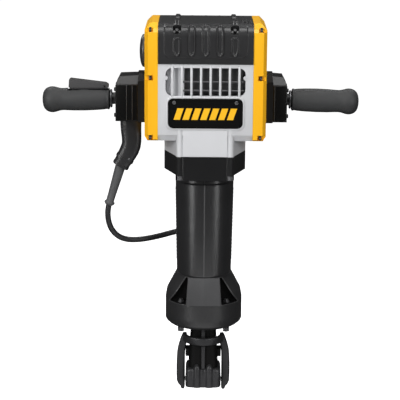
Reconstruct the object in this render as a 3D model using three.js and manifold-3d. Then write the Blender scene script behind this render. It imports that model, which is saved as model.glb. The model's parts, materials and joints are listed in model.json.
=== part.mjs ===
// Electric demolition hammer (pavement breaker), upright, in millimetres.
// The origin is the mouth of the tool socket on the striking axis. +Z runs up that
// axis to the motor head, -Y is the nameplate side and the switch handle is on -X.
import * as THREE from 'three';
import { mergeVertices } from 'three/addons/utils/BufferGeometryUtils.js';
import Module from 'manifold-3d';

const wasm = await Module();
wasm.setup();

// ---- Driving dimensions ----
const GAP = 0.3;                 // clearance kept between touching pieces
const REACH = 400;               // longer than any cut needs to be

const HEAD_HALF = 102.3;         // half width of the casting between the side covers
const HEAD_DEPTH = 100;          // half depth of the head
const HEAD_FLOOR = 586;
const COVER_JOINT = 754;         // plane between the casting and the motor cover
const HEAD_TOP = 840;
const SIDE_FACE = 131.5;         // outer face of the side covers
const WALL = 6;

const NECK_JOINT = 551.4;        // plane between the casting and the collar
const COLLAR_FOOT = 498;
const EAR_FOOT = 509;            // underside of the side ears and bolt lugs
const BOLT_X = 55;
const BOLT_Y = 93;

const FLARE_TOP = 271;
const DRUM_TOP = 213;
const DRUM_FOOT = 150;
const DRUM_RADIUS = 86.5;
const BARREL_HALF_TOP = 65.4;
const BARREL_HALF_FOOT = 61.3;

const NOSE_CORE = 34.5;          // radius of the nose between its block and the drum
const NOSE_BLOCK = 40;           // half width of the block at the mouth
const SOCKET_FLATS = 29;         // hexagonal bore, across flats, for a 28.6 mm shank
const PIVOT_Z = 10;              // retainer hinge line
const ARM_INNER = 41.6;
const ARM_OUTER = 61;

const MOTOR_Z = 770;
const IDLER_Z = 708;
const CRANK_Z = 632.4;
const CRANK_THROW = 16;
const ROD_LENGTH = 115;
const BORE = 33;                 // cylinder bore radius
const CYLINDER_FOOT = 232;

const HANDLE_Z = 664;
const LEFT_PIVOT = -174;
const RIGHT_PIVOT = 163;
const HUB_RADIUS = 10.5;
const LEFT_BOX = -197;           // outer face of each handle bracket
const RIGHT_BOX = 179;
const LEFT_GRIP = -211.6;        // inner end of each grip
const RIGHT_GRIP = 190.7;
const GRIP_LENGTH = 147.2;
const STEM_RADIUS = 13;

const CORD_RADIUS = 6.5;
const CORD_Y = 73;               // the cord passes behind the barrel at this depth
const HANK_RADIUS = 52;          // outer turns of the hank, to the middle of the cord
const HANK_INNER = 39;
const HANK_RUN = 130;            // straight part of each run
const HANK_Z = 364.5;
const HANK_FRONT = 79.8;

// ---- Materials ----
function paint(color, roughness, metalness = 0) {
  return new THREE.MeshStandardMaterial({ color, roughness, metalness });
}
const yellow = paint(0xfdb913, 0.35);
const silver = paint(0xc9cacc, 0.4, 0.5);
const blackPlastic = paint(0x2e2f31, 0.5);
const blackCasting = paint(0x303133, 0.55, 0.3);
const forged = paint(0x3e3f41, 0.5, 0.6);
const rubber = paint(0x3a3b3c, 0.8);
const steel = paint(0x9b9da0, 0.3, 0.9);
const cordRubber = paint(0x343536, 0.7);
const copper = paint(0xb06a3c, 0.4, 0.8);
const laminations = paint(0x6f7378, 0.5, 0.6);
const carbon = paint(0x222222, 0.8);
const bronze = paint(0xa9793c, 0.45, 0.8);

// ---- Solids from three.js geometry, joined and cut by manifold ----
function toSolid(geometry) {
  const bare = new THREE.BufferGeometry();
  bare.setAttribute('position', geometry.getAttribute('position'));
  bare.setIndex(geometry.index);
  const merged = mergeVertices(bare, 1e-3);
  const corners = merged.index.array;
  const kept = [];
  for (let i = 0; i < corners.length; i += 3) {
    const [a, b, c] = [corners[i], corners[i + 1], corners[i + 2]];
    if (a !== b && b !== c && c !== a) kept.push(a, b, c);
  }
  return new wasm.Manifold(new wasm.Mesh({
    numProp: 3,
    vertProperties: new Float32Array(merged.getAttribute('position').array),
    triVerts: new Uint32Array(kept),
  }));
}

function toGeometry(solid) {
  const mesh = solid.getMesh();
  const geometry = new THREE.BufferGeometry();
  geometry.setAttribute('position', new THREE.BufferAttribute(new Float32Array(mesh.vertProperties), 3));
  geometry.setIndex(new THREE.BufferAttribute(new Uint32Array(mesh.triVerts), 1));
  geometry.computeVertexNormals();
  return geometry;
}

function join(...solids) {
  return solids.reduce((total, solid) => total.add(solid));
}

function cut(solid, ...tools) {
  return tools.reduce((rest, tool) => rest.subtract(tool), solid);
}

function block(x0, x1, y0, y1, z0, z1) {
  const geometry = new THREE.BoxGeometry(x1 - x0, y1 - y0, z1 - z0);
  geometry.translate((x0 + x1) / 2, (y0 + y1) / 2, (z0 + z1) / 2);
  return toSolid(geometry);
}

// The frames map an outline's own (a, b) and its extrusion direction to the axes.
const FRAMES = {
  x: new THREE.Matrix4().set(0, 0, 1, 0, 1, 0, 0, 0, 0, 1, 0, 0, 0, 0, 0, 1),
  y: new THREE.Matrix4().set(1, 0, 0, 0, 0, 0, -1, 0, 0, 1, 0, 0, 0, 0, 0, 1),
  z: new THREE.Matrix4(),
};

// An outline in YZ for axis x, in XZ for axis y or in XY for axis z, from one end to the other.
function prism(outline, axis, from, to, curveSegments = 3) {
  const shape = outline instanceof THREE.Shape
    ? outline : new THREE.Shape(outline.map(([a, b]) => new THREE.Vector2(a, b)));
  const options = { depth: to - from, bevelEnabled: false, curveSegments };
  const geometry = new THREE.ExtrudeGeometry(shape, options);
  geometry.translate(0, 0, axis === 'y' ? -to : from);
  geometry.applyMatrix4(FRAMES[axis]);
  return toSolid(geometry);
}

// A round bar along an axis. middle holds the other two coordinates in x, y, z order.
function bar(radius, axis, from, to, middle = [0, 0], segments = 20) {
  const geometry = new THREE.CylinderGeometry(radius, radius, to - from, segments);
  geometry.translate(0, (from + to) / 2, 0);
  if (axis === 'z') geometry.rotateX(Math.PI / 2);
  if (axis === 'x') geometry.rotateZ(-Math.PI / 2);
  const [a, b] = middle;
  if (axis === 'x') geometry.translate(0, a, b);
  if (axis === 'y') geometry.translate(a, 0, b);
  if (axis === 'z') geometry.translate(a, b, 0);
  return toSolid(geometry);
}

// A turned piece about Z from [radius, z] pairs, which start and end on the axis or close.
function turned(profile, segments = 24) {
  const points = profile.map(([radius, z]) => new THREE.Vector2(radius, z));
  const geometry = new THREE.LatheGeometry(points, segments);
  geometry.rotateX(Math.PI / 2);
  return toSolid(geometry);
}

function ring(outer, inner, z0, z1, segments = 24) {
  return turned([[inner, z0], [outer, z0], [outer, z1], [inner, z1], [inner, z0]], segments);
}

// Lays a piece turned about Z along +X or -X with its z measured as distance from x = 0.
function alongX(solid, side, z) {
  const geometry = toGeometry(solid);
  geometry.rotateY(side * Math.PI / 2);
  geometry.translate(0, 0, z);
  return toSolid(geometry);
}

function roundedRect(halfA, halfB, radius) {
  const shape = new THREE.Shape();
  shape.absarc(halfA - radius, halfB - radius, radius, 0, Math.PI / 2);
  shape.absarc(radius - halfA, halfB - radius, radius, Math.PI / 2, Math.PI);
  shape.absarc(radius - halfA, radius - halfB, radius, Math.PI, 1.5 * Math.PI);
  shape.absarc(halfA - radius, radius - halfB, radius, 1.5 * Math.PI, 2 * Math.PI);
  return shape;
}

function shifted(solid, x, y, z) {
  return solid.translate([x, y, z]);
}

function mirrorOutline(points) {
  return points.concat(points.map(([a, b]) => [-a, b]).reverse());
}

const hammer = new THREE.Group();

function place(name, solid, material, parent = hammer) {
  const mesh = new THREE.Mesh(toGeometry(solid), material);
  mesh.name = name;
  parent.add(mesh);
  return mesh;
}

// ---- Head ----
const SHOULDER = [[100, 822], [95, 829], [75, HEAD_TOP]];   // cover outline on the +Y side

function headOutline(inset, floor) {
  const half = SHOULDER.map(([y, z]) => [y - inset, z - inset]);
  return [[half[0][0], floor], ...half, ...half.map(([y, z]) => [-y, z]).reverse(), [-half[0][0], floor]];
}

function neckOutline() {
  return mirrorOutline([[47, -99], [62, -92], [90, -15], [90, 15], [62, 92], [47, 99]]);
}

function neckHollow() {
  return mirrorOutline([[43, -91], [57, -84], [82, -14], [82, 14], [57, 84], [43, 91]]);
}

function boltRibs(z0, z1) {
  const ribs = [];
  for (const x of [-BOLT_X, BOLT_X]) {
    for (const y of [-BOLT_Y, BOLT_Y]) ribs.push(bar(8, 'z', z0, z1, [x, y], 16));
  }
  return join(...ribs);
}

const GRILLE = { half: 86, low: 685, high: 746, radius: 14 };
const GEARBOX_WALL = [-60, -46];

function grilleOutline(inset) {
  const { half, low, high, radius } = GRILLE;
  return roundedRect(half - inset, (high - low) / 2 - inset, radius - inset);
}

function grillePrism(inset, from, to) {
  return shifted(prism(grilleOutline(inset), 'y', from, to), 0, 0, (GRILLE.low + GRILLE.high) / 2);
}

function motorHousing() {
  const top = COVER_JOINT - GAP;
  const profile = [[-92, HEAD_FLOOR], [92, HEAD_FLOOR], [100, 600], [100, top], [-100, top], [-100, 600]];
  const shell = join(
    prism(profile, 'x', -HEAD_HALF, HEAD_HALF),
    prism(neckOutline(), 'z', NECK_JOINT, 590),
    boltRibs(NECK_JOINT, 612),
  );
  const hollow = join(
    block(-96, 96, -92, 92, 592, COVER_JOINT + 10),
    prism(neckHollow(), 'z', NECK_JOINT - 5, 600),
    bar(63.5, 'x', -77, -60, [0, CRANK_Z], 28),
  );
  const wall = block(GEARBOX_WALL[0], GEARBOX_WALL[1], -92.5, 92.5, 591, 748);
  return cut(
    join(cut(shell, hollow), wall),
    grillePrism(0, -REACH / 2, -90),
    bar(28.3, 'x', -62, -44, [0, CRANK_Z], 24),
    bar(9.3, 'x', -HEAD_HALF - 1, -44, [0, IDLER_Z], 24),
    bar(14.3, 'x', -HEAD_HALF - 1, -90, [0, CRANK_Z], 24),
    bar(58, 'x', -61, 45, [0, MOTOR_Z], 28),
    bar(14, 'x', -HEAD_HALF - 1, HEAD_HALF + 1, [0, MOTOR_Z], 16),
  );
}

function ventGrille() {
  const barPitch = 20.05;
  const bars = [];
  for (let i = -3.5; i <= 3.5; i += 1) {
    const x = i * barPitch;
    bars.push(block(x - 2, x + 2, -101.5, -94, GRILLE.low + 0.5, GRILLE.high - 0.5));
  }
  for (const z of [695, 717]) bars.push(block(-83, 83, -95, -92.5, z - 2.5, z + 2.5));
  const frame = cut(grillePrism(GAP, -99, -92), grillePrism(3, -100, -90));
  return join(frame, ...bars);
}

function nameplate() {
  const plate = shifted(prism(roundedRect(80.5, 32.5, 12), 'y', -103, -HEAD_DEPTH - GAP), 0, 0, 647.5);
  const inner = shifted(prism(roundedRect(76, 28, 9), 'y', -105, -102), 0, 0, 647.5);
  return cut(plate, inner);
}

function motorCover() {
  const outer = prism(headOutline(0, COVER_JOINT), 'x', -HEAD_HALF, HEAD_HALF);
  const inner = prism(headOutline(WALL, COVER_JOINT - 5), 'x', -96, 96);
  const panel = prism(headOutline(-2.5, COVER_JOINT), 'x', -90, 90);
  const panelArea = shifted(prism(roundedRect(90, 60, 10), 'y', -REACH, 0), 0, 0, 775 + 60);
  const pieces = [outer, panel.intersect(panelArea)];
  for (const x of [-61.5, 61.5]) pieces.push(block(x - 6, x + 6, -70, 70, HEAD_TOP - 1, HEAD_TOP + 4));
  const pockets = [];
  for (const x of [-61.5, 61.5]) {
    for (const y of [-95, 95]) pockets.push(block(x - 8.8, x + 8.8, y - 11, y + 11, 821, 836));
  }
  return cut(
    join(...pieces), inner, ...pockets,
    bar(14, 'x', -HEAD_HALF - 1, HEAD_HALF + 1, [0, MOTOR_Z], 16),
  );
}

function sideCover(side) {
  const low = HEAD_FLOOR + 4;
  const outline = headOutline(0, low);
  outline.unshift([92, HEAD_FLOOR]);
  outline.push([-92, HEAD_FLOOR]);
  const body = prism(outline, 'x', HEAD_HALF + GAP, SIDE_FACE);
  const plan = [
    [90, -120], [124, -120], [124, -100], [SIDE_FACE, -90],
    [SIDE_FACE, 90], [124, 100], [124, 120], [90, 120],
  ];
  const front = [
    [90, 580], [121, 580], [SIDE_FACE, 596], [SIDE_FACE, 826], [119, HEAD_TOP], [90, HEAD_TOP],
  ];
  const shaped = body.intersect(prism(plan, 'z', 500, 900)).intersect(prism(front, 'y', -150, 150));
  const hollow = block(HEAD_HALF - 1, 124, -90, 90, 600, 828);
  const boss = bar(27, 'x', HEAD_HALF + GAP, 128, [0, MOTOR_Z], 28);
  const pockets = [];
  for (const z of [828, 724, 594]) {
    for (const y of [-98, 98]) pockets.push(block(113, 150, y - 6, y + 6, z - 5.5, z + 5.5));
  }
  const bearingBore = bar(21.3, 'x', 100, side < 0 ? REACH : 119, [0, MOTOR_Z], 24);
  const cover = cut(join(cut(shaped, hollow), boss), ...pockets, bearingBore);
  return side > 0 ? cover : cover.mirror([1, 0, 0]);
}

function bearingCap() {
  const profile = [
    [0, 125], [21, 125], [21, SIDE_FACE + GAP], [32, SIDE_FACE + GAP], [32, 136], [26, 141], [0, 143],
  ];
  return alongX(turned(profile, 28), -1, MOTOR_Z);
}

place('motor_housing', motorHousing(), silver);
place('vent_grille', ventGrille(), silver);
place('nameplate', nameplate(), blackPlastic);
place('motor_cover', motorCover(), blackPlastic);
place('side_cover_left', sideCover(-1), yellow);
place('side_cover_right', sideCover(1), yellow);
place('bearing_cap', bearingCap(), blackPlastic);

// ---- Collar, barrel and drum ----
function collar() {
  const top = NECK_JOINT - GAP;
  const body = join(prism(neckOutline(), 'z', COLLAR_FOOT, top), boltRibs(EAR_FOOT, top));
  const relief = [];
  for (const side of [-1, 1]) {
    const [x0, x1] = side < 0 ? [-120, -64] : [64, 120];
    relief.push(block(x0, x1, -120, 120, 480, EAR_FOOT));
  }
  const holes = [];
  for (const x of [-BOLT_X, BOLT_X]) {
    for (const y of [-BOLT_Y, BOLT_Y]) {
      holes.push(bar(3.4, 'z', 490, top + 1, [x, y], 12));
      holes.push(bar(9, 'z', 490, EAR_FOOT, [x, y], 16));
    }
  }
  const cylinderBore = bar(39.4, 'z', 490, 560, [0, 0], 24);
  const crankcaseBore = bar(60, 'z', 506, 560, [0, 0], 24);
  return cut(body, ...relief, ...holes, cylinderBore, crankcaseBore);
}

function barrelShell(side) {
  const spread = BARREL_HALF_TOP - BARREL_HALF_FOOT;
  const outline = [
    [0.15, -72], [38, -66], [56, -52], [BARREL_HALF_TOP, -28],
    [BARREL_HALF_TOP, 28], [56, 52], [38, 64], [0.15, 66],
  ];
  const core = [
    [-1, -66], [34, -60], [50, -46], [59, -25], [59, 25], [50, 46], [34, 58], [-1, 60],
  ];
  const z0 = FLARE_TOP + GAP;
  const z1 = COLLAR_FOOT - GAP;
  const shell = cut(prism(outline, 'z', z0, z1), prism(core, 'z', z0 - 5, z1 + 5));
  const tapered = shell.warp((point) => {
    const inward = spread * (z1 - point[2]) / (z1 - z0);
    if (point[0] > 20) point[0] -= inward;
  });
  return side > 0 ? tapered : tapered.mirror([1, 0, 0]);
}

function frontFlange() {
  const drum = turned([
    [0, DRUM_FOOT], [76, DRUM_FOOT], [84, 157], [DRUM_RADIUS, 162], [DRUM_RADIUS, DRUM_TOP],
    [84, 231], [62, FLARE_TOP], [0, FLARE_TOP],
  ], 36);
  const panel = prism([[-60, 205], [-85, 205], [-67, 262], [-60, 262]], 'x', -37, 37);
  const backPanel = panel.mirror([0, 1, 0]);
  const pockets = [];
  for (const side of [-1, 1]) {
    const outline = [[41, 206], [80, 206], [80, 216], [47, 257], [41, 257]]
      .map(([x, z]) => [side * x, z]);
    if (side < 0) outline.reverse();
    pockets.push(prism(outline, 'y', -REACH / 4, -34));
    pockets.push(prism(outline, 'y', 34, REACH / 4));
  }
  const holes = [];
  for (const x of [-51, 51]) {
    for (const y of [-51, 51]) holes.push(bar(5.3, 'z', 140, 230, [x, y], 16));
  }
  return cut(
    join(drum, panel, backPanel), ...pockets, ...holes,
    bar(39.4, 'z', 100, 300, [0, 0], 24),
    prism(roundedRect(66.4, 66.4, 14), 'z', 140, 162.3),
  );
}

function collarBolt(x, y) {
  const head = bar(6.5, 'z', EAR_FOOT - 10, EAR_FOOT - GAP, [x, y], 6);
  const shank = bar(3, 'z', EAR_FOOT - 1, NECK_JOINT - 2, [x, y], 12);
  return join(head, shank);
}

function flangeBolt(x, y) {
  const head = bar(8, 'z', 142, DRUM_FOOT, [x, y], 6);
  const shank = bar(4.6, 'z', 149, 217, [x, y], 12);
  const nut = bar(7.5, 'z', 206 + GAP, 213, [x, y], 6);
  return join(head, shank, nut);
}

const CORNERS = { front_left: [-1, -1], front_right: [1, -1], rear_left: [-1, 1], rear_right: [1, 1] };

place('collar', collar(), blackCasting);
place('barrel_shell_left', barrelShell(-1), blackPlastic);
place('barrel_shell_right', barrelShell(1), blackPlastic);
place('front_flange', frontFlange(), blackCasting);
for (const [corner, [sx, sy]] of Object.entries(CORNERS)) {
  place(`collar_bolt_${corner}`, collarBolt(sx * BOLT_X, sy * BOLT_Y), steel);
  place(`flange_bolt_${corner}`, flangeBolt(sx * 51, sy * 51), steel);
}

// ---- Nose, tool socket and retainer ----
function nose() {
  const holes = [];
  for (const x of [-51, 51]) {
    for (const y of [-51, 51]) holes.push(bar(5.3, 'z', 140, 170, [x, y], 16));
  }
  const cheeks = [
    [-NOSE_BLOCK, 0], [NOSE_BLOCK, 0], [NOSE_BLOCK, 40], [27, 56], [-27, 56], [-NOSE_BLOCK, 40],
  ];
  const body = join(
    prism(roundedRect(NOSE_BLOCK, 42, 12), 'z', 0, 70).intersect(prism(cheeks, 'y', -60, 60)),
    bar(NOSE_CORE, 'z', 20, 152, [0, 0], 24),
    block(-5, 5, -36.5, 36.5, 20, 140),
    block(-40.5, 40.5, -14, 14, 66, 80),
    prism(roundedRect(66, 66, 14), 'z', DRUM_FOOT + GAP, 162),
  );
  return cut(
    body, ...holes,
    block(-7, 7, -50, -38, -10, 44),
    bar(24.3, 'z', -10, 200, [0, 0], 24),
    bar(5.3, 'x', 24, 60, [0, PIVOT_Z], 20),
    bar(5.3, 'x', -60, -24, [0, PIVOT_Z], 20),
  );
}

function toolSleeve() {
  const hex = bar(SOCKET_FLATS / 2 / Math.cos(Math.PI / 6), 'z', -5, 160, [0, 0], 6);
  return cut(turned([[0, 0.5], [22, 0.5], [24, 2.5], [24, 150], [0, 150]]), hex);
}

function retainerBail() {
  const arm = [
    [ARM_INNER, -14], [50, -14], [52, -4], [58, -2], [ARM_OUTER, 8], [ARM_OUTER, 42], [60, 62],
    [56.5, 84], [51, 104], [47, 121], [ARM_INNER, 121],
  ];
  const armRight = prism(arm, 'y', -9, 9);
  const hoop = ring(47, 37.6, 104, 121, 32);
  const front = hoop.intersect(block(-60, 60, -60, 6, 100, 125));
  const pinBore = bar(5.3, 'x', -70, 70, [0, PIVOT_Z], 20);
  return cut(join(armRight, armRight.mirror([1, 0, 0]), front), pinBore);
}

function bailPin(side) {
  return side > 0 ? bar(5, 'x', 26, 57, [0, PIVOT_Z], 20) : bar(5, 'x', -57, -26, [0, PIVOT_Z], 20);
}

place('nose', nose(), forged);
place('tool_sleeve', toolSleeve(), steel);
place('bail_pin_left', bailPin(-1), steel);
place('bail_pin_right', bailPin(1), steel);
place('retainer_bail', retainerBail(), forged);

// ---- Handles ----
function handleBracket(side, boxFace, pivot) {
  const face = Math.abs(boxFace);
  const plate = [
    [-46, HANDLE_Z - 46.5], [46, HANDLE_Z - 46.5], [46, HANDLE_Z + 44], [20, HANDLE_Z + 59.5],
    [-20, HANDLE_Z + 59.5], [-46, HANDLE_Z + 44],
  ];
  const hump = [[146, 619.5], [face, 619.5], [face, 699], [face - 9, 717], [146, 719]];
  const side45 = [[-45, 600], [45, 600], [45, 702], [28, 720], [-28, 720], [-45, 702]];
  const body = join(
    prism(plate, 'x', SIDE_FACE + GAP, 148),
    prism(hump, 'y', -45, 45).intersect(prism(side45, 'x', 100, 260)),
  );
  const shaped = cut(
    body,
    block(152, face - 5, -36, 36, 632, 696),
    bar(17, 'x', 150, REACH, [0, HANDLE_Z]),
  );
  const pivotBore = bar(5, 'y', -50, 50, [Math.abs(pivot), HANDLE_Z], 16);
  const bracket = cut(shaped, pivotBore);
  return side > 0 ? bracket : bracket.mirror([1, 0, 0]);
}

function handleCore(side, pivot, gripStart) {
  const x = Math.abs(pivot);
  const end = Math.abs(gripStart) + GRIP_LENGTH - 16;
  const core = join(
    bar(HUB_RADIUS, 'y', -35, 35, [x, HANDLE_Z]),
    bar(4.6, 'y', -43, 43, [x, HANDLE_Z], 16),
    bar(STEM_RADIUS, 'x', x, end, [0, HANDLE_Z]),
  );
  return side > 0 ? core : core.mirror([1, 0, 0]);
}

function grip(side, gripStart) {
  const a = Math.abs(gripStart);
  const b = a + GRIP_LENGTH;
  const bore = STEM_RADIUS + GAP;
  const profile = [
    [bore, a], [23.5, a], [25, a + 12], [25.8, a + 60], [24.6, a + 110], [25.5, a + 120], [28, a + 128],
    [28.5, a + 135], [26, a + 142], [19, b - 1], [10, b], [0, b], [0, b - 15], [bore, b - 15], [bore, a],
  ];
  return alongX(turned(profile, 20), side, HANDLE_Z);
}

const PADDLE_PIVOT = { x: -222, z: 691 };

function gripLeft() {
  return cut(grip(-1, LEFT_GRIP), block(-304, -214, -13, 13, 676.5, 720));
}

function switchPaddle() {
  const outline = [[-302, 688], [-214, 688], [-214, 694], [-220, 698], [-298, 707], [-301, 705]];
  return cut(
    prism(outline, 'y', -12, 12),
    bar(2.5, 'y', -20, 20, [PADDLE_PIVOT.x, PADDLE_PIVOT.z], 16),
  );
}

place('handle_bracket_left', handleBracket(-1, LEFT_BOX, LEFT_PIVOT), blackCasting);
place('handle_bracket_right', handleBracket(1, RIGHT_BOX, RIGHT_PIVOT), blackCasting);
place('handle_core_left', handleCore(-1, LEFT_PIVOT, LEFT_GRIP), steel);
place('handle_core_right', handleCore(1, RIGHT_PIVOT, RIGHT_GRIP), steel);
place('grip_left', gripLeft(), rubber);
place('grip_right', grip(1, RIGHT_GRIP), rubber);
place('switch_paddle', switchPaddle(), blackPlastic);
place('switch_body', block(-176, -154, -16, 16, 633, 647), blackPlastic);

// ---- Mains lead ----
const GUARD_MOUTH = new THREE.Vector3(-188, 0, 512);
const SLEEVE_END = new THREE.Vector3(-215, 0, 421);

// Hand-chosen route of the lead from the sleeve to the hank behind the barrel.
const CORD_ROUTE = [
  [-215.3, 0, 419.9], [-217.5, 0.5, 402], [-215.5, 3, 380], [-208, 8, 360], [-194, 16, 343.5],
  [-175, 28, 333.5], [-151, 42, 329.5], [-124, 56, 330], [-98, 67, 333.5], [-72, 72.5, 339.5],
  [-48, CORD_Y, 345.5], [-24, CORD_Y, 349.3], [0, CORD_Y, 350],
];

function cordGuard() {
  const outline = [
    [-188.5, 619.2], [-184.5, 560], [-205, 524], [-200, 514], [-176, 501],
    [-170, 503], [-140.5, 552], [-141.5, 617.2], [-148, 617.2], [-148, 619.2],
  ];
  const body = prism(outline, 'y', -20, 20);
  const direction = new THREE.Vector3().subVectors(SLEEVE_END, GUARD_MOUTH).normalize();
  const borehole = new THREE.CylinderGeometry(11.2, 11.2, 60, 24);
  const lean = new THREE.Quaternion().setFromUnitVectors(new THREE.Vector3(0, 1, 0), direction);
  borehole.applyQuaternion(lean);
  borehole.translate(...GUARD_MOUTH.clone().addScaledVector(direction, 12).toArray());
  return cut(body, toSolid(borehole));
}

function cordSleeve() {
  const length = SLEEVE_END.distanceTo(GUARD_MOUTH);
  const profile = [
    [0, -14], [10.9, -14], [10.9, 2], [8.8, length - 8],
    [11, length - 5], [11, length - 2], [9, length], [0, length],
  ];
  return turned(profile, 20);
}

function cordTube() {
  const curve = new THREE.CatmullRomCurve3(CORD_ROUTE.map((point) => new THREE.Vector3(...point)));
  const section = new THREE.Shape();
  section.absarc(0, 0, CORD_RADIUS, 0, 2 * Math.PI);
  const options = { steps: 18, extrudePath: curve, curveSegments: 8 };
  return toSolid(new THREE.ExtrudeGeometry(section, options));
}

function stadium(radius) {
  const half = HANK_RUN / 2;
  const shape = new THREE.Shape();
  shape.absarc(0, half, radius, 0, Math.PI);
  shape.absarc(0, -half, radius, Math.PI, 2 * Math.PI);
  return shape;
}

function cordHank() {
  const depth = 4 * CORD_RADIUS + 0.4;
  const outer = prism(stadium(HANK_RADIUS + CORD_RADIUS), 'y', HANK_FRONT, HANK_FRONT + depth, 12);
  const inner = prism(stadium(HANK_INNER - CORD_RADIUS - 0.4), 'y', HANK_FRONT - 5, HANK_FRONT + 40, 12);
  return shifted(cut(outer, inner), 0, 0, HANK_Z);
}

function cordTie() {
  const y0 = HANK_FRONT - GAP;
  const y1 = HANK_FRONT + 4 * CORD_RADIUS + 0.4 + GAP;
  const inner = HANK_RADIUS + CORD_RADIUS + GAP;
  return cut(
    block(-inner - 2, inner + 2, y0 - 2, y1 + 2, 300, 320),
    block(-inner, inner, y0, y1, 295, 325),
  );
}

function plug() {
  const body = turned([[0, 0], [7.5, 0], [8.5, 14], [16, 20], [17.5, 30], [17.5, 52], [0, 52]], 24);
  const blades = [
    block(-7.2, -5.7, -3.2, 3.2, 50, 70),
    block(5.7, 7.2, -3.2, 3.2, 50, 70),
    bar(2.4, 'z', 50, 73, [0, 9], 12),
  ];
  return join(body, ...blades);
}

place('cord_guard', cordGuard(), blackPlastic);
const sleeve = place('cord_sleeve', cordSleeve(), cordRubber);
sleeve.position.copy(GUARD_MOUTH);
sleeve.quaternion.setFromUnitVectors(
  new THREE.Vector3(0, 0, 1), new THREE.Vector3().subVectors(SLEEVE_END, GUARD_MOUTH).normalize());
place('cord', cordTube(), cordRubber);
place('cord_hank', cordHank(), cordRubber);
place('cord_tie', cordTie(), rubber);
place('plug', plug(), blackPlastic).position.set(0, HANK_FRONT + 13.2, 385);

// ---- Motor ----
const armature = new THREE.Group();
armature.position.set(0, 0, MOTOR_Z);
hammer.add(armature);

// A spur gear about Z: straight flanks through the involute thickness at root and tip.
function spurGear(teeth, module, z0, z1, bore, turn) {
  const pitch = teeth * module / 2;
  const base = pitch * Math.cos(Math.PI / 9);
  const tip = pitch + 0.8 * module;
  const root = pitch - 1.2 * module;
  const involute = (radius) => {
    const angle = Math.acos(Math.min(1, base / radius));
    return Math.tan(angle) - angle;
  };
  const halfAtPitch = Math.PI / teeth * 0.44;
  const halfAt = (radius) => halfAtPitch + involute(pitch) - involute(radius);
  const points = [];
  for (let i = 0; i < teeth; i += 1) {
    const middle = turn + 2 * Math.PI * i / teeth;
    const corners = [[root, -halfAt(root)], [tip, -halfAt(tip)], [tip, halfAt(tip)], [root, halfAt(root)]];
    for (const [radius, angle] of corners) {
      points.push([radius * Math.cos(middle + angle), radius * Math.sin(middle + angle)]);
    }
  }
  const blank = prism(points, 'z', z0, z1);
  return bore > 0 ? cut(blank, bar(bore, 'z', z0 - 1, z1 + 1, [0, 0], 20)) : blank;
}

// Turns a piece built about Z so that its axis lies along +X.
function turnToX(solid) {
  return solid.rotate([0, 90, 0]);
}

function tube(outer, inner, x0, x1, segments = 20) {
  return cut(bar(outer, 'x', x0, x1, [0, 0], segments), bar(inner, 'x', x0 - 1, x1 + 1, [0, 0], segments));
}

const PINION_TEETH = 10;
const IDLER_TEETH = 52;
const IDLER_PINION_TEETH = 12;
const CRANK_TEETH = 42;
const FINE_MODULE = 2;
const COARSE_MODULE = 2.8;

function armatureShaft() {
  return join(
    bar(7, 'x', -123, 117, [0, 0], 24),
    turnToX(spurGear(PINION_TEETH, FINE_MODULE, -95, -82, 0, 0)),
  );
}

function fan() {
  const blades = [];
  for (let i = 0; i < 7; i += 1) {
    blades.push(block(66, 77, -1.5, 1.5, 12, 42).rotate([i * 360 / 7, 0, 0]));
  }
  const wheel = join(tube(16, 7.3, 66, 78), tube(44, 7.3, 64, 67), ...blades);
  return cut(wheel, bar(7.3, 'x', 60, 80, [0, 0], 24));
}

place('armature_shaft', armatureShaft(), steel, armature);
place('armature_core', tube(32, 7.3, -38, 38), copper, armature);
place('commutator', tube(18, 7.3, 44, 60, 28), copper, armature);
place('cooling_fan', fan(), blackPlastic, armature);

function stator() {
  const flats = join(block(-45, 45, -56, 56, -38, 38), block(-45, 45, -40, 40, -56, 56));
  return cut(bar(56, 'x', -40, 40, [0, 0], 24).intersect(flats), bar(33.5, 'x', -50, 50, [0, 0], 24));
}

place('stator', shifted(stator(), 0, 0, MOTOR_Z), laminations);
place('motor_bearing_left', shifted(tube(21, 7.3, -124, -110), 0, 0, MOTOR_Z), steel);
place('motor_bearing_right', shifted(tube(21, 7.3, 104, 118), 0, 0, MOTOR_Z), steel);
for (const [name, y0, y1] of [['brush_front', -34, -18.4], ['brush_rear', 18.4, 34]]) {
  place(name, block(47, 57, y0, y1, MOTOR_Z - 5, MOTOR_Z + 5), carbon);
}

// ---- Gear train and striking mechanism ----
const idler = new THREE.Group();
idler.position.set(0, 0, IDLER_Z);
const crank = new THREE.Group();
crank.position.set(0, 0, CRANK_Z);
hammer.add(idler, crank);

// Each lower gear shows a gap straight up at rest, where the gear above shows a tooth.
const TOOTH_UP = Math.PI;
const idlerTurn = TOOTH_UP + Math.PI / IDLER_TEETH;
const crankTurn = TOOTH_UP + Math.PI / CRANK_TEETH;

place('idler_gear', turnToX(spurGear(IDLER_TEETH, FINE_MODULE, -95.4, -82, 9.3, idlerTurn)), steel, idler);
place('idler_shaft', join(
  bar(9, 'x', -99, -47, [0, 0], 16),
  turnToX(spurGear(IDLER_PINION_TEETH, COARSE_MODULE, -79, -61, 0, 0)),
), steel, idler);

function crankShaft() {
  return join(
    bar(14, 'x', -99, -26),
    prism(roundedRect(24, 33, 20), 'x', -40, -12),
    bar(9, 'x', -14, 13, [0, -CRANK_THROW], 24),
  );
}

function connectingRod() {
  const big = CRANK_Z - CRANK_THROW;
  const small = big - ROD_LENGTH;
  return cut(
    join(
      bar(17, 'x', -9, 9, [0, big], 28),
      bar(10, 'x', -8, 8, [0, small], 24),
      block(-6, 6, -6.5, 6.5, small, big),
    ),
    bar(9.3, 'x', -20, 20, [0, big], 24),
    bar(5.3, 'x', -20, 20, [0, small], 20),
  );
}

const WRIST_Z = CRANK_Z - CRANK_THROW - ROD_LENGTH;

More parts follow.
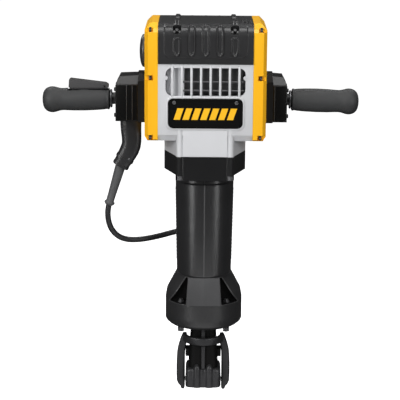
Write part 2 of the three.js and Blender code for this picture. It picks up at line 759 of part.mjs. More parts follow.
function piston() {
  const floor = WRIST_Z - 45;
  const foot = floor - 8;
  const rim = WRIST_Z + 11;
  return turned([[0, foot], [BORE - 0.4, foot], [BORE - 0.4, rim], [29.6, rim], [29.6, floor], [0, floor]]);
}

const crankWheel = spurGear(CRANK_TEETH, COARSE_MODULE, -75.4, -61.4, 14.3, crankTurn);
place('crank_gear', turnToX(crankWheel), steel, crank);
place('crankshaft', crankShaft(), steel, crank);
place('crank_bearing', shifted(tube(28, 14.3, -59.5, -46.5), 0, 0, CRANK_Z), steel);
place('connecting_rod', connectingRod(), steel);
place('wrist_pin', bar(5, 'x', -19, 19, [0, WRIST_Z], 20), steel);
place('piston', piston(), steel);
place('cylinder', ring(39, BORE, CYLINDER_FOOT, 520), laminations);
place('ram', turned([[0, 262], [14, 262], [BORE - 0.5, 270], [BORE - 0.5, 335], [0, 335]]), steel);
const beatProfile = [[0, 152.5], [13.5, 152.5], [13.5, 192], [22, 196], [22, 238], [0, 238]];
place('beat_piece', turned(beatProfile), steel);
place('front_guide_bush', ring(38.8, 22.4, 196, CYLINDER_FOOT - GAP), bronze);
place('damper_ring', ring(38.8, 14.2, 163, 180), rubber);

export default hammer;
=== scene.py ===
"""Looks of the upright demolition hammer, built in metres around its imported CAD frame."""
import json
import math

import bmesh
import bpy
from mathutils import Matrix, Vector


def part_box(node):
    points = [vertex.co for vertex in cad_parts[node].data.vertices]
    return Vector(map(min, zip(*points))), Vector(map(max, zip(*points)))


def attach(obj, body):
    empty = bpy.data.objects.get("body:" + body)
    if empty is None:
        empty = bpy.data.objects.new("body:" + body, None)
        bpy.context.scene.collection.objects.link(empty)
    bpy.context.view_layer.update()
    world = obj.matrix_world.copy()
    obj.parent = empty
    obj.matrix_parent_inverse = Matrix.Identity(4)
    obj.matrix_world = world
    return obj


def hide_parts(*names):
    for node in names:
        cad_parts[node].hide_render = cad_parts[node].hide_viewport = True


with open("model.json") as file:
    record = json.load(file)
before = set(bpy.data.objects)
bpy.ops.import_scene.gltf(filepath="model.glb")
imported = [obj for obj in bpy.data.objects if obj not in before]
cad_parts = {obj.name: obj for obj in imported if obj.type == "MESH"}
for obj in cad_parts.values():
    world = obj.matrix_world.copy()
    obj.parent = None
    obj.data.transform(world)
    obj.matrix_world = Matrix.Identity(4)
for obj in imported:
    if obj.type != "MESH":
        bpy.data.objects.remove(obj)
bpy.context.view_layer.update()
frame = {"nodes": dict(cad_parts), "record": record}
NODES = frame["nodes"]
MM = 0.001

# ---- Driving sizes, in metres ----
CORD_RADIUS = 0.0065
HANK_OUTER = 0.052
HANK_INNER = 0.039
HANK_RUN = 0.130
HANK_Z = 0.3645
HANK_LAYERS = (0.0864, 0.0995)
CAMERA_TARGET = (-0.010, 0.0, 0.433)
CAMERA_DISTANCE = 3.5
CAMERA_ELEVATION = math.radians(13.0)
CAMERA_ROLL = math.radians(0.45)
LIGHTS_AIM = (0, 0, 0.45)
FLOOR_Z = -0.30


# ---- Camera, lights and floor ----
def look_at(obj, target, roll=0.0):
    direction = Vector(target) - obj.location
    turn = direction.to_track_quat("-Z", "Y").to_matrix().to_4x4()
    obj.rotation_euler = (turn @ Matrix.Rotation(roll, 4, "Z")).to_euler()


def make_camera():
    data = bpy.data.cameras.new("camera")
    data.lens = 140.0
    data.sensor_width = 36.0
    data.clip_end = 100.0
    camera = bpy.data.objects.new("camera", data)
    bpy.context.scene.collection.objects.link(camera)
    away = Vector((0, -math.cos(CAMERA_ELEVATION), math.sin(CAMERA_ELEVATION)))
    target = Vector(CAMERA_TARGET)
    camera.location = target + away * CAMERA_DISTANCE
    look_at(camera, target, CAMERA_ROLL)
    bpy.context.scene.camera = camera


def area_light(name, place, size, power, size_y=None):
    """A soft light that faces the middle of the object, in metres and watts."""
    data = bpy.data.lights.new(name, "AREA")
    data.energy = power
    data.size = size
    if size_y:
        data.shape = "RECTANGLE"
        data.size_y = size_y
    lamp = bpy.data.objects.new(name, data)
    bpy.context.scene.collection.objects.link(lamp)
    lamp.location = place
    look_at(lamp, LIGHTS_AIM)


def make_stage():
    area_light("key", (-2.1, -2.2, 1.7), 1.4, 66)
    area_light("fill", (1.9, -2.2, 1.5), 1.1, 32)
    area_light("top", (0.1, -0.9, 3.0), 1.3, 30)
    area_light("back_left", (-1.1, 1.7, 3.0), 1.0, 24)
    area_light("back_right", (1.1, 1.7, 3.0), 1.0, 20)
    area_light("strip_left", (-1.7, -1.8, 0.1), 0.25, 7.5, 1.2)
    area_light("strip_right", (1.6, -1.8, 0.1), 0.25, 5.5, 1.2)
    area_light("bounce", (0.0, -0.5, -0.28), 0.9, 2)
    world = bpy.data.worlds.new("studio")
    bpy.context.scene.world = world
    world.use_nodes = True
    background = world.node_tree.nodes["Background"]
    background.inputs["Color"].default_value = (1, 1, 1, 1)
    background.inputs["Strength"].default_value = 0.04
    bpy.ops.mesh.primitive_plane_add(size=80, location=(0, 20, FLOOR_Z))
    floor = bpy.context.object
    floor.name = "floor"
    paper = plain_material("floor_white", (0.95, 0.95, 0.95), 0.9)
    shader = paper.node_tree.nodes["Principled BSDF"]
    shader.inputs["Emission Color"].default_value = (1, 1, 1, 1)
    shader.inputs["Emission Strength"].default_value = 1.0
    floor.data.materials.append(paper)
    floor.visible_diffuse = False
    floor.visible_glossy = False
    bpy.context.scene.view_settings.view_transform = "Standard"


# ---- Materials ----
def plain_material(name, color, roughness, metallic=0.0):
    made = bpy.data.materials.new(name)
    made.use_nodes = True
    shader = made.node_tree.nodes["Principled BSDF"]
    shader.inputs["Base Color"].default_value = (*color, 1)
    shader.inputs["Roughness"].default_value = roughness
    shader.inputs["Metallic"].default_value = metallic
    return made


def textured(name, color, roughness, metallic=0.0, grain=900.0, bump=0.15, spread=0.08,
             edge_wear_and_highlight=0.0, coat=0.0, specular=0.5):
    """A surface with cloudy colour, grain in its bump and roughness, and edges lightened partly as rubbed
    wear, partly as a painted highlight.
    """
    made = plain_material(name, color, roughness, metallic)
    tree = made.node_tree
    new = tree.nodes.new
    link = tree.links.new
    shader = tree.nodes["Principled BSDF"]
    shader.inputs["Specular IOR Level"].default_value = specular
    if coat:
        shader.inputs["Coat Weight"].default_value = coat
        shader.inputs["Coat Roughness"].default_value = 0.2
    coordinates = new("ShaderNodeTexCoord")
    clouds = new("ShaderNodeTexNoise")
    clouds.inputs["Scale"].default_value = 14.0
    clouds.inputs["Detail"].default_value = 6.0
    link(coordinates.outputs["Object"], clouds.inputs["Vector"])
    shade = new("ShaderNodeValToRGB")
    shade.color_ramp.elements[0].position = 0.3
    shade.color_ramp.elements[1].position = 0.7
    dark = [max(0.0, c * (1 - spread)) for c in color]
    light = [min(1.0, c * (1 + spread)) for c in color]
    shade.color_ramp.elements[0].color = (*dark, 1)
    shade.color_ramp.elements[1].color = (*light, 1)
    link(clouds.outputs["Fac"], shade.inputs["Fac"])
    color_out = shade.outputs["Color"]
    # Edge lightening from Pointiness: partly rubbed wear, partly a painted highlight along edges and crests.
    if edge_wear_and_highlight:
        geometry = new("ShaderNodeNewGeometry")
        edge = new("ShaderNodeValToRGB")
        edge.color_ramp.elements[0].position = 0.52
        edge.color_ramp.elements[1].position = 0.62
        link(geometry.outputs["Pointiness"], edge.inputs["Fac"])
        mix = new("ShaderNodeMix")
        mix.data_type = "RGBA"
        scale = new("ShaderNodeMath")
        scale.operation = "MULTIPLY"
        scale.inputs[1].default_value = edge_wear_and_highlight
        link(edge.outputs["Color"], scale.inputs[0])
        link(scale.outputs[0], mix.inputs["Factor"])
        link(color_out, mix.inputs["A"])
        mix.inputs["B"].default_value = (*[min(1.0, c * 1.6 + 0.05) for c in color], 1)
        color_out = mix.outputs["Result"]
    link(color_out, shader.inputs["Base Color"])
    fine = new("ShaderNodeTexNoise")
    fine.inputs["Scale"].default_value = grain
    fine.inputs["Detail"].default_value = 3.0
    link(coordinates.outputs["Object"], fine.inputs["Vector"])
    rough = new("ShaderNodeMapRange")
    rough.inputs["To Min"].default_value = roughness - 0.06
    rough.inputs["To Max"].default_value = roughness + 0.08
    link(fine.outputs["Fac"], rough.inputs["Value"])
    link(rough.outputs["Result"], shader.inputs["Roughness"])
    relief = new("ShaderNodeBump")
    relief.inputs["Strength"].default_value = bump
    relief.inputs["Distance"].default_value = 0.0006
    link(fine.outputs["Fac"], relief.inputs["Height"])
    link(relief.outputs["Normal"], shader.inputs["Normal"])
    return made


def make_materials():
    return {
        "yellow_cover": textured("yellow_nylon", (0.97, 0.47, 0.008), 0.38, grain=1400, bump=0.10,
                                 spread=0.03, edge_wear_and_highlight=0.15),
        "silver_casting": textured("silver_cast", (0.57, 0.575, 0.59), 0.50, 0.15, grain=1100,
                                   bump=0.35, spread=0.04, edge_wear_and_highlight=0.3),
        # The black cover's strong edge lightening paints highlights on the crests of its ribs and on the
        # other pieces in this material.
        "black_cover": textured("black_nylon", (0.021, 0.021, 0.022), 0.34, grain=1600, bump=0.25,
                                spread=0.12, edge_wear_and_highlight=0.9, specular=0.6),
        "black_casting": textured("black_powder_coat", (0.011, 0.011, 0.012), 0.38, grain=1200,
                                  bump=0.35, spread=0.12, edge_wear_and_highlight=0.3),
        "forged_black": textured("black_forging", (0.028, 0.028, 0.030), 0.40, 0.35, grain=700,
                                 bump=0.40, spread=0.18, edge_wear_and_highlight=0.25),
        "grip_rubber": textured("grip_rubber", (0.032, 0.033, 0.034), 0.60, grain=2200, bump=0.30,
                                spread=0.08, edge_wear_and_highlight=0.1),
        "sleeve_rubber": textured("sleeve_rubber", (0.075, 0.076, 0.078), 0.62, grain=1800, bump=0.15,
                                  spread=0.08),
        "cord_rubber": textured("cord_rubber", (0.018, 0.018, 0.019), 0.42, grain=1800, bump=0.12,
                                spread=0.08),
        "bright_steel": textured("plated_steel", (0.45, 0.45, 0.46), 0.32, 0.9, grain=500, bump=0.15,
                                 spread=0.10, edge_wear_and_highlight=0.3),
        "barrel_black": textured("barrel_nylon", (0.017, 0.017, 0.018), 0.29, grain=1600,
                                 bump=0.22, spread=0.12, specular=0.9),
        "shadow_black": textured("shadow_black", (0.004, 0.004, 0.004), 0.55, grain=700, bump=0.3,
                                 spread=0.2, specular=0.12),
        "collar_black": textured("collar_black", (0.007, 0.007, 0.0075), 0.30, grain=1200, bump=0.2,
                                 spread=0.12, edge_wear_and_highlight=0.1, specular=0.4),
        # A lighter black, used on the grille baffle and the flange panels.
        "lighter_black": textured("lighter_black_nylon", (0.050, 0.050, 0.052), 0.48, grain=1600,
                               bump=0.25, spread=0.12),
        "dark_steel": textured("dark_steel", (0.12, 0.12, 0.125), 0.38, 0.8, grain=500, bump=0.15,
                               spread=0.10, edge_wear_and_highlight=0.3),
        "nameplate_black": textured("plate_black", (0.004, 0.004, 0.004), 0.20, grain=600, bump=0.04,
                                    spread=0.05, coat=0.4),
        "plug_rubber": textured("plug_rubber", (0.03, 0.03, 0.031), 0.5, grain=1800, bump=0.15),
        "laminated_steel": textured("laminated_steel", (0.30, 0.31, 0.33), 0.45, 0.7, grain=400, bump=0.2),
        "copper": textured("copper_winding", (0.62, 0.30, 0.15), 0.38, 0.8, grain=300, bump=0.2),
        "carbon": textured("carbon", (0.02, 0.02, 0.02), 0.7, grain=900, bump=0.2),
        "bronze": textured("bronze", (0.50, 0.33, 0.14), 0.4, 0.8, grain=500, bump=0.15),
    }


MATERIALS = make_materials()


def dress(piece, look, body="housing"):
    """Gives a new piece its material and its body."""
    piece.data.materials.clear()
    piece.data.materials.append(MATERIALS[look])
    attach(piece, body)
    return piece


# ---- Mesh helpers ----
def new_piece(name, points, faces, smooth=True):
    """A mesh piece from points in millimetres."""
    mesh = bpy.data.meshes.new(name)
    mesh.from_pydata([tuple(Vector(p) * MM) for p in points], [], faces)
    mesh.validate()
    mesh.update()
    piece = bpy.data.objects.new(name, mesh)
    bpy.context.scene.collection.objects.link(piece)
    face_outward(piece)
    if smooth:
        mesh.polygons.foreach_set("use_smooth", [True] * len(mesh.polygons))
    return piece


def face_outward(piece):
    work = bmesh.new()
    work.from_mesh(piece.data)
    bmesh.ops.recalc_face_normals(work, faces=work.faces)
    work.to_mesh(piece.data)
    work.free()


def loft(name, rings, closed_ring=True, cap=True):
    """Joins equal-length rings of points into a skin, capped at its two ends."""
    count = len(rings[0])
    points = [p for ring in rings for p in ring]
    faces = []
    last = count if closed_ring else count - 1
    for r in range(len(rings) - 1):
        for i in range(last):
            j = (i + 1) % count
            a, b = r * count, (r + 1) * count
            faces.append((a + i, a + j, b + j, b + i))
    if cap:
        faces.append(tuple(range(count))[::-1])
        faces.append(tuple(range(len(points) - count, len(points))))
    return new_piece(name, points, faces)


def turned(name, profile, origin, axis=(0, 0, 1), segments=64, closed=False):
    """A lathe piece: (radius, distance) pairs turned about an axis from an origin."""
    turn = Vector((0, 0, 1)).rotation_difference(Vector(axis)).to_matrix()
    rings = []
    for radius, along in profile:
        radius = max(radius, 0.001)
        ring = []
        for i in range(segments):
            angle = 2 * math.pi * i / segments
            local = Vector((radius * math.cos(angle), radius * math.sin(angle), along))
            ring.append(Vector(origin) + turn @ local)
        rings.append(ring)
    piece = loft(name, rings, cap=not closed)
    weld(piece, 0.01 * MM)
    return piece


def weld(piece, distance):
    work = bmesh.new()
    work.from_mesh(piece.data)
    bmesh.ops.remove_doubles(work, verts=work.verts, dist=distance)
    bmesh.ops.dissolve_degenerate(work, edges=work.edges, dist=distance / 10)
    bmesh.ops.recalc_face_normals(work, faces=work.faces)
    work.to_mesh(piece.data)
    work.free()


def sharpen(piece, degrees=35.0):
    """Smooth shading that breaks at edges sharper than the angle."""
    limit = math.radians(degrees)
    work = bmesh.new()
    work.from_mesh(piece.data)
    for face in work.faces:
        face.smooth = True
    for edge in work.edges:
        edge.smooth = not (edge.is_manifold and edge.calc_face_angle(0) > limit)
    work.to_mesh(piece.data)
    work.free()


def soften(node, width=1.2, angle=32.0, segments=3):
    """Rounds the hard edges of a CAD node with modifiers only."""
    piece = NODES[node]
    flat = piece.modifiers.new("flat", "DECIMATE")
    flat.decimate_type = "DISSOLVE"
    flat.angle_limit = math.radians(0.5)
    bevel = piece.modifiers.new("round", "BEVEL")
    bevel.width = width * MM
    bevel.segments = segments
    bevel.limit_method = "ANGLE"
    bevel.angle_limit = math.radians(angle)
    bevel.harden_normals = False
    bevel.miter_outer = "MITER_ARC"
    normals = piece.modifiers.new("shade", "WEIGHTED_NORMAL")
    normals.keep_sharp = True
    for polygon in piece.data.polygons:
        polygon.use_smooth = True


def rounded_box(name, low, high, radius, segments=3):
    """A box with rounded edges, between two corners in millimetres."""
    work = bmesh.new()
    bmesh.ops.create_cube(work, size=1.0)
    size = (Vector(high) - Vector(low)) * MM
    middle = (Vector(high) + Vector(low)) / 2 * MM
    bmesh.ops.scale(work, vec=size, verts=work.verts)
    bmesh.ops.translate(work, vec=middle, verts=work.verts)
    bmesh.ops.bevel(work, geom=work.edges[:] + work.verts[:], offset=radius * MM, segments=segments,
                    profile=0.5, affect="EDGES")
    mesh = bpy.data.meshes.new(name)
    work.to_mesh(mesh)
    work.free()
    piece = bpy.data.objects.new(name, mesh)
    bpy.context.scene.collection.objects.link(piece)
    for polygon in mesh.polygons:
        polygon.use_smooth = True
    return piece


def joined(name, pieces):
    """Joins several mesh pieces into one object."""
    work = bmesh.new()
    for piece in pieces:
        work.from_mesh(piece.data)
        old = piece.data
        bpy.data.objects.remove(piece)
        bpy.data.meshes.remove(old)
    mesh = bpy.data.meshes.new(name)
    work.to_mesh(mesh)
    work.free()
    piece = bpy.data.objects.new(name, mesh)
    bpy.context.scene.collection.objects.link(piece)
    return piece


# ---- Mains lead ----
def smooth_path(points, step=0.005):
    """Catmull-Rom points through a given route, evenly close together."""
    route = [Vector(p) for p in points]
    route = [route[0] * 2 - route[1]] + route + [route[-1] * 2 - route[-2]]
    path = []
    for i in range(1, len(route) - 2):
        p0, p1, p2, p3 = route[i - 1:i + 3]
        count = max(2, round((p2 - p1).length / step))
        for k in range(count):
            t = k / count
            path.append(0.5 * (2 * p1 + (p2 - p0) * t + (2 * p0 - 5 * p1 + 4 * p2 - p3) * t * t
                               + (3 * p1 - p0 - 3 * p2 + p3) * t ** 3))
    path.append(route[-2])
    return path


CORD_ROUTE = [
    (-0.2153, 0, 0.4199), (-0.2175, 0.0005, 0.402), (-0.2155, 0.003, 0.380), (-0.208, 0.008, 0.360),
    (-0.194, 0.016, 0.3435), (-0.175, 0.028, 0.3335), (-0.151, 0.042, 0.3295), (-0.124, 0.056, 0.330),
    (-0.098, 0.067, 0.3335), (-0.072, 0.0725, 0.3395), (-0.048, 0.073, 0.3455), (-0.024, 0.073, 0.3493),
    (0, 0.073, 0.350),
]


def hank_path(plug_foot):
    """Four racetrack turns behind the barrel, then an S-bend up into the plug."""
    half = HANK_RUN / 2
    near, far = HANK_LAYERS
    turns = [(HANK_OUTER, near), (HANK_OUTER, far), (HANK_INNER, far), (HANK_INNER, near)]
    path = []
    start_y = CORD_ROUTE[-1][1]
    for k in range(1, 13):
        angle = -math.pi / 2 + math.pi / 2 * k / 12
        path.append(Vector((HANK_OUTER * math.cos(angle), start_y,
                            CORD_ROUTE[-1][2] + HANK_OUTER * (1 + math.sin(angle)))))
    for index, (radius, y) in enumerate(turns):
        if index > 0:
            old_radius, old_y = turns[index - 1]
            for k in range(1, 14):
                t = k / 14
                s = t * t * (3 - 2 * t)
                path.append(Vector((old_radius + (radius - old_radius) * s, old_y + (y - old_y) * s,
                                    HANK_Z - half + HANK_RUN * t)))
        arc = 24
        for k in range(arc + 1):
            angle = math.pi * k / arc
            depth = start_y + (y - start_y) * k / arc if index == 0 else y
            path.append(Vector((radius * math.cos(angle), depth, HANK_Z + half + radius * math.sin(angle))))
        for k in range(1, 12):
            path.append(Vector((-radius, y, HANK_Z + half - HANK_RUN * k / 12)))
        for k in range(arc + 1):
            angle = math.pi + math.pi * k / arc
            path.append(Vector((radius * math.cos(angle), y, HANK_Z - half + radius * math.sin(angle))))
    start = path[-1]
    for k in range(1, 15):
        t = k / 14
        s = t * t * (3 - 2 * t)
        path.append(Vector((start.x * (1 - s), start.y + (plug_foot[1] - start.y) * s,
                            start.z + (plug_foot[2] - start.z) * t)))
    return path


def cord_curve(name, path, radius):
    data = bpy.data.curves.new(name, "CURVE")
    data.dimensions = "3D"
    data.bevel_depth = radius
    data.bevel_resolution = 6
    data.use_fill_caps = True
    spline = data.splines.new("POLY")
    spline.points.add(len(path) - 1)
    for point, place in zip(spline.points, path):
        point.co = (*place, 1)
    spline.use_smooth = True
    piece = bpy.data.objects.new(name, data)
    bpy.context.scene.collection.objects.link(piece)
    return piece


def make_cord():
    low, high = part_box("plug")
    foot = Vector(((low.x + high.x) / 2, (low.y + high.y) / 2, low.z + 0.001))
    path = smooth_path(CORD_ROUTE) + hank_path(foot)
    cord = cord_curve("mains_lead", path, CORD_RADIUS)
    cord.data.materials.append(MATERIALS["cord_rubber"])
    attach(cord, "housing")
    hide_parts("cord", "cord_hank")


# ---- Small solids that the details are made of ----
def rod(radius, start, end, segments=28, edge=0.4):
    """A round bar between two points, with slightly rounded ends."""
    start = Vector(start)
    end = Vector(end)
    length = (end - start).length
    profile = [(0, 0), (radius - edge, 0), (radius, edge), (radius, length - edge),
               (radius - edge, length), (0, length)]
    return turned("rod", profile, start, end - start, segments)


def bead(points, radius, segments=10):
    """A thin round bead along a line of points."""
    rings = []
    for i, point in enumerate(points):
        before = Vector(points[max(0, i - 1)])
        after = Vector(points[min(len(points) - 1, i + 1)])
        turn = Vector((0, 0, 1)).rotation_difference(after - before).to_matrix()
        rings.append([Vector(point) + turn @ Vector((radius * math.cos(a), radius * math.sin(a), 0))
                      for a in (2 * math.pi * k / segments for k in range(segments))])
    return loft("bead", rings)


def stripe(outline, front, back):
    """A flat plate in the front plane, from its (x, z) outline."""
    count = len(outline)
    points = [(x, front, z) for x, z in outline] + [(x, back, z) for x, z in outline]
    faces = [tuple(range(count)), tuple(range(2 * count - 1, count - 1, -1))]
    for i in range(count):
        j = (i + 1) % count
        faces.append((i, i + count, j + count, j))
    return new_piece("stripe", points, faces, smooth=False)


def squircle(half_a, half_b, power, segments=48):
    """A rounded rectangle as a superellipse."""
    loop = []
    for i in range(segments):
        angle = 2 * math.pi * i / segments
        c, s = math.cos(angle), math.sin(angle)
        loop.append((math.copysign(abs(c) ** (2 / power), c) * half_a,
                     math.copysign(abs(s) ** (2 / power), s) * half_b))
    return loop


def circle_ring(radius, z, segments):
    return [(radius * math.cos(2 * math.pi * i / segments), radius * math.sin(2 * math.pi * i / segments), z)
            for i in range(segments)]


def ease(low, high, value):
    """Goes smoothly from 0 at low to 1 at high."""
    t = min(1.0, max(0.0, (value - low) / (high - low)))
    return t * t * (3 - 2 * t)


# ---- Motor cover: one embossed skin over front, shoulder, top and rear ----
COVER_HALF = 102.0
COVER_FOOT = 754.3
COVER_FACE = 102.3
SHOULDER_Z = 815.0
SHOULDER_Y = 30.3
SHOULDER_RISE = 25.0
FRONT_RUN = SHOULDER_Z - COVER_FOOT
SHOULDER_RUN = 43.5
TOP_RUN = 2 * (COVER_FACE - SHOULDER_Y)
COVER_RUN = 2 * FRONT_RUN + 2 * SHOULDER_RUN + TOP_RUN
LONG_RIBS = (-30.6, 0.0, 30.6)
SHORT_RIBS = (-62.0, 62.0)
VENT_COLUMNS = (80.0, 88.5, 97.0)
PANEL_EDGE = 88.5
PANEL_START = 13.5
PANEL_CORNER = 12


def cover_point(run, lift):
    """The (y, z) of a point along the cover's section, raised by lift."""
    if run > COVER_RUN / 2:
        y, z = cover_point(COVER_RUN - run, lift)
        return -y, z
    if run <= FRONT_RUN:
        return -COVER_FACE - lift, COVER_FOOT + run
    if run <= FRONT_RUN + SHOULDER_RUN:
        turn = math.pi / 2 * (run - FRONT_RUN) / SHOULDER_RUN
        return (-(COVER_FACE - SHOULDER_Y) - (SHOULDER_Y + lift) * math.cos(turn),
                SHOULDER_Z + (SHOULDER_RISE + lift) * math.sin(turn))
    return -(COVER_FACE - SHOULDER_Y) + (run - FRONT_RUN - SHOULDER_RUN), SHOULDER_Z + SHOULDER_RISE + lift


def rib_lift(x, run, middle, foot, top):
    """A channelled rib: a rounded crest all round a shallow trough."""
    half = 5.0 + 3.4 * ease(foot, foot + 12, run)
    across = abs(x - middle)
    beyond = max(foot + half - run, run - (top - half), 0.0)
    inside = half - math.hypot(across, beyond)
    if inside <= 0:
        return 0.0
    crest = 3.4 * ease(0.0, 1.7, inside)
    return crest - 2.5 * ease(2.3, 4.3, inside)


def cover_lift(x, run):
    """How far the cover's skin stands out: panel, ribs, screw pockets, ridges and vents."""
    front = COVER_RUN - run if run > COVER_RUN / 2 else run
    from_side = PANEL_EDGE - abs(x)
    from_foot = front - PANEL_START
    inside = min(from_side, from_foot)
    if inside < PANEL_CORNER and from_side < PANEL_CORNER and from_foot < PANEL_CORNER:
        inside = PANEL_CORNER - math.hypot(PANEL_CORNER - from_side, PANEL_CORNER - from_foot)
    lift = 2.6 * ease(-0.6, 1.4, inside) * (1 - ease(76, 92, front))
    for middle in LONG_RIBS:
        lift += rib_lift(x, front, middle, 16.5, 88.0)
    for middle in SHORT_RIBS:
        lift += rib_lift(x, front, middle, 16.5, 59.0)
    across = abs(abs(x) - SHORT_RIBS[1])
    if 65.5 < front < 86 and across < 8.6:
        lift = -9.0
    elif front > 86:
        ridge = 3.6 * ease(6.0, 4.0, across) * (1 if front < 168 else 0)
        lift = max(lift, ridge * (0.45 if 97 < front < 112 else 1.0))
    for row in (front - 122, front - 152):
        for column in VENT_COLUMNS:
            if run < COVER_RUN / 2 and abs(row) < 9.5 and abs(x - column) < 2.9:
                lift = -5.0
    return lift


def make_motor_cover():
    fine, coarse, detailed = 1.15, 2.4, 108
    runs = [fine * i for i in range(int(detailed / fine))]
    runs += [detailed + coarse * i for i in range(int((COVER_RUN / 2 - detailed) / coarse) + 1)]
    runs += [COVER_RUN - run for run in reversed(runs) if COVER_RUN - run > runs[-1] + 0.5]
    inner = [(97.5, COVER_FOOT), (97.5, 812), (72, 834), (-72, 834), (-97.5, 812), (-97.5, COVER_FOOT)]
    columns = 178
    rings = []
    for i in range(columns + 1):
        x = -COVER_HALF + 2 * COVER_HALF * i / columns
        ring = []
        for run in runs:
            y, z = cover_point(run, cover_lift(x, run))
            ring.append((x, y, z))
        ring += [(x, y, z) for y, z in inner]
        rings.append(ring)
    cover = loft("motor_cover_skin", rings)
    sharpen(cover, 42)
    dress(cover, "black_cover")
    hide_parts("motor_cover")
    # Near-black plates on the vent floors: painted shade in the vent pockets.
    vents = [rounded_box("vent", (x - 2.7, y - 9.2, 835.1), (x + 2.7, y + 9.2, 836.2), 0.3, 1)
             for x in VENT_COLUMNS for y in (-54.7, -24.7)]
    dress(joined("cover_vent_shade_plates", vents), "shadow_black")
    screws = []
    for x in SHORT_RIBS:
        for side in (-1, 1):
            base = (x, side * 92.0, 823.0)
            out = (x, side * 98.5, 828.0)
            screws.append(rod(3.6, base, out))
    heads = joined("cover_screws", screws)
    sharpen(heads)
    dress(heads, "black_casting")


# ---- Silver casting ----
def rounded_loop(half_x, half_z, radius, segments=8):
    """A rectangle with round corners, as (x, z) about its middle."""
    loop = []
    corners = [(1, 1, 0), (-1, 1, 90), (-1, -1, 180), (1, -1, 270)]
    for sx, sz, start in corners:
        for k in range(segments + 1):
            angle = math.radians(start + 90 * k / segments)
            loop.append((sx * (half_x - radius) + radius * math.cos(angle),
                         sz * (half_z - radius) + radius * math.sin(angle)))
    return loop


def rim(name, half_x, half_z, radius, width, y0, y1, middle_z):
    """A rounded rectangular rim standing out of the front face."""
    rings = []
    edge = 0.9
    outlines = [(0.0, y0), (0.0, y1 + edge), (edge, y1), (width - edge, y1), (width, y1 + edge), (width, y0)]
    for inset, y in outlines:
        loop = rounded_loop(half_x - inset, half_z - inset, radius - inset)
        rings.append([Vector((a, y, middle_z + b)) for a, b in loop])
    rings.append(rings[0])
    piece = loft(name, rings, cap=False)
    weld(piece, 0.01 * MM)
    sharpen(piece, 50)
    return piece


GRILLE_LOW = 681.5
GRILLE_HIGH = 750.5
BAR_PITCH = 20.6
BAR_COUNT = 8


def grille_bar(x):
    rings = []
    for z, grow in ((GRILLE_LOW, 0.1), (GRILLE_LOW + 0.8, 0.75), (GRILLE_LOW + 2.4, 1.0),
                    (GRILLE_HIGH - 2.4, 1.0), (GRILLE_HIGH - 0.8, 0.75), (GRILLE_HIGH, 0.1)):
        half = 2.5 * grow
        face = -100.2 - 2.0 * grow
        ring = [(x - half, -94, z), (x - half, face + 1.4, z), (x - half * 0.6, face + 0.3, z), (x, face, z),
                (x + half * 0.6, face + 0.3, z), (x + half, face + 1.4, z), (x + half, -94, z)]
        rings.append(ring)
    return loft("bar", rings)


def make_grille():
    bars = [grille_bar((i - (BAR_COUNT - 1) / 2) * BAR_PITCH + 0.6) for i in range(BAR_COUNT)]
    for side in (-1, 1):
        bars.append(rod(4.3, (side * 85.6, -88, 724), (side * 85.6, -100.3, 724)))
    grille = joined("grille_bars", bars)
    sharpen(grille, 40)
    dress(grille, "silver_casting")
    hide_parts("vent_grille")
    rails = joined("grille_rails", [rod(2.3, (-50, -89.5, z), (84, -89.5, z), 16) for z in (695.5, 714.5)])
    sharpen(rails)
    dress(rails, "dark_steel")
    backing = rounded_box("grille_backing", (-85, -88.0, 684), (-50, -85.0, 748), 0.8)
    dress(backing, "silver_casting")
    rings = []
    for x in (-49.0, 84.5):
        ring = []
        for i in range(25):
            turn = math.pi * i / 24
            ring.append((x, -82 - 5.5 * math.sin(turn), 748 - 63 * (1 - math.cos(turn)) / 2))
        ring += [(x, -79, 685), (x, -79, 748)]
        rings.append(ring)
    baffle = loft("grille_baffle", rings)
    sharpen(baffle, 50)
    dress(baffle, "lighter_black")


def make_casting_face():
    """The slightly raised central face that runs from the nameplate down to the collar."""
    rings = []
    sections = [(-96, 48.4, 551.7, 616), (-100.2, 48.4, 551.7, 616), (-100.8, 47.6, 552.2, 614)]
    for y, half, low, high in sections:
        rings.append([(-half, y, low), (half, y, low), (half, y, high), (-half, y, high)])
    face = loft("casting_front_face", rings)
    sharpen(face, 25)
    dress(face, "silver_casting")


def make_nameplate():
    edge = rim("nameplate_rim", 85.0, 37.0, 15.0, 5.0, -99.0, -101.9, 647.5)
    dress(edge, "silver_casting")
    bars = []
    for i in range(7):
        x = -57.6 + 19.2 * i
        outline = [(x - 11, 634.0), (x + 2.5, 634.0), (x + 11, 659.0), (x - 2.5, 659.0)]
        bars.append(stripe(outline, -103.35, -102.6))
    dress(joined("nameplate_bars", bars), "yellow_cover")
    rivets = joined("nameplate_rivets", [
        turned("rivet", [(0, -1), (4.0, -1), (4.0, 0.6), (3.2, 1.3), (2.4, 0.9), (0, 0.9)],
               (x, -102.7, 671.0), (0, -1, 0), 24) for x in (-67.5, 67.0)])
    sharpen(rivets)
    dress(rivets, "dark_steel")


def make_side_screws():
    """Black boxes of painted shade in the pockets of the two side covers, each with its screw."""
    wells = []
    screws = []
    for side in (-1, 1):
        for z in (828.0, 724.0, 594.0):
            for face in (-1, 1):
                x = side * 119.0
                low, high = sorted((face * 93.0, face * 96.4))
                wells.append(rounded_box("well", (x - 2.8, low, z - 5.2), (x + 2.8, high, z + 4.8), 1.2))
                screws.append(rod(1.9, (x, face * 95.0, z - 1.2), (x, face * 97.3, z - 1.2), 16, 0.3))
    dress(joined("side_screw_pocket_shade", wells), "black_casting")
    dress(joined("side_screws", screws), "dark_steel")


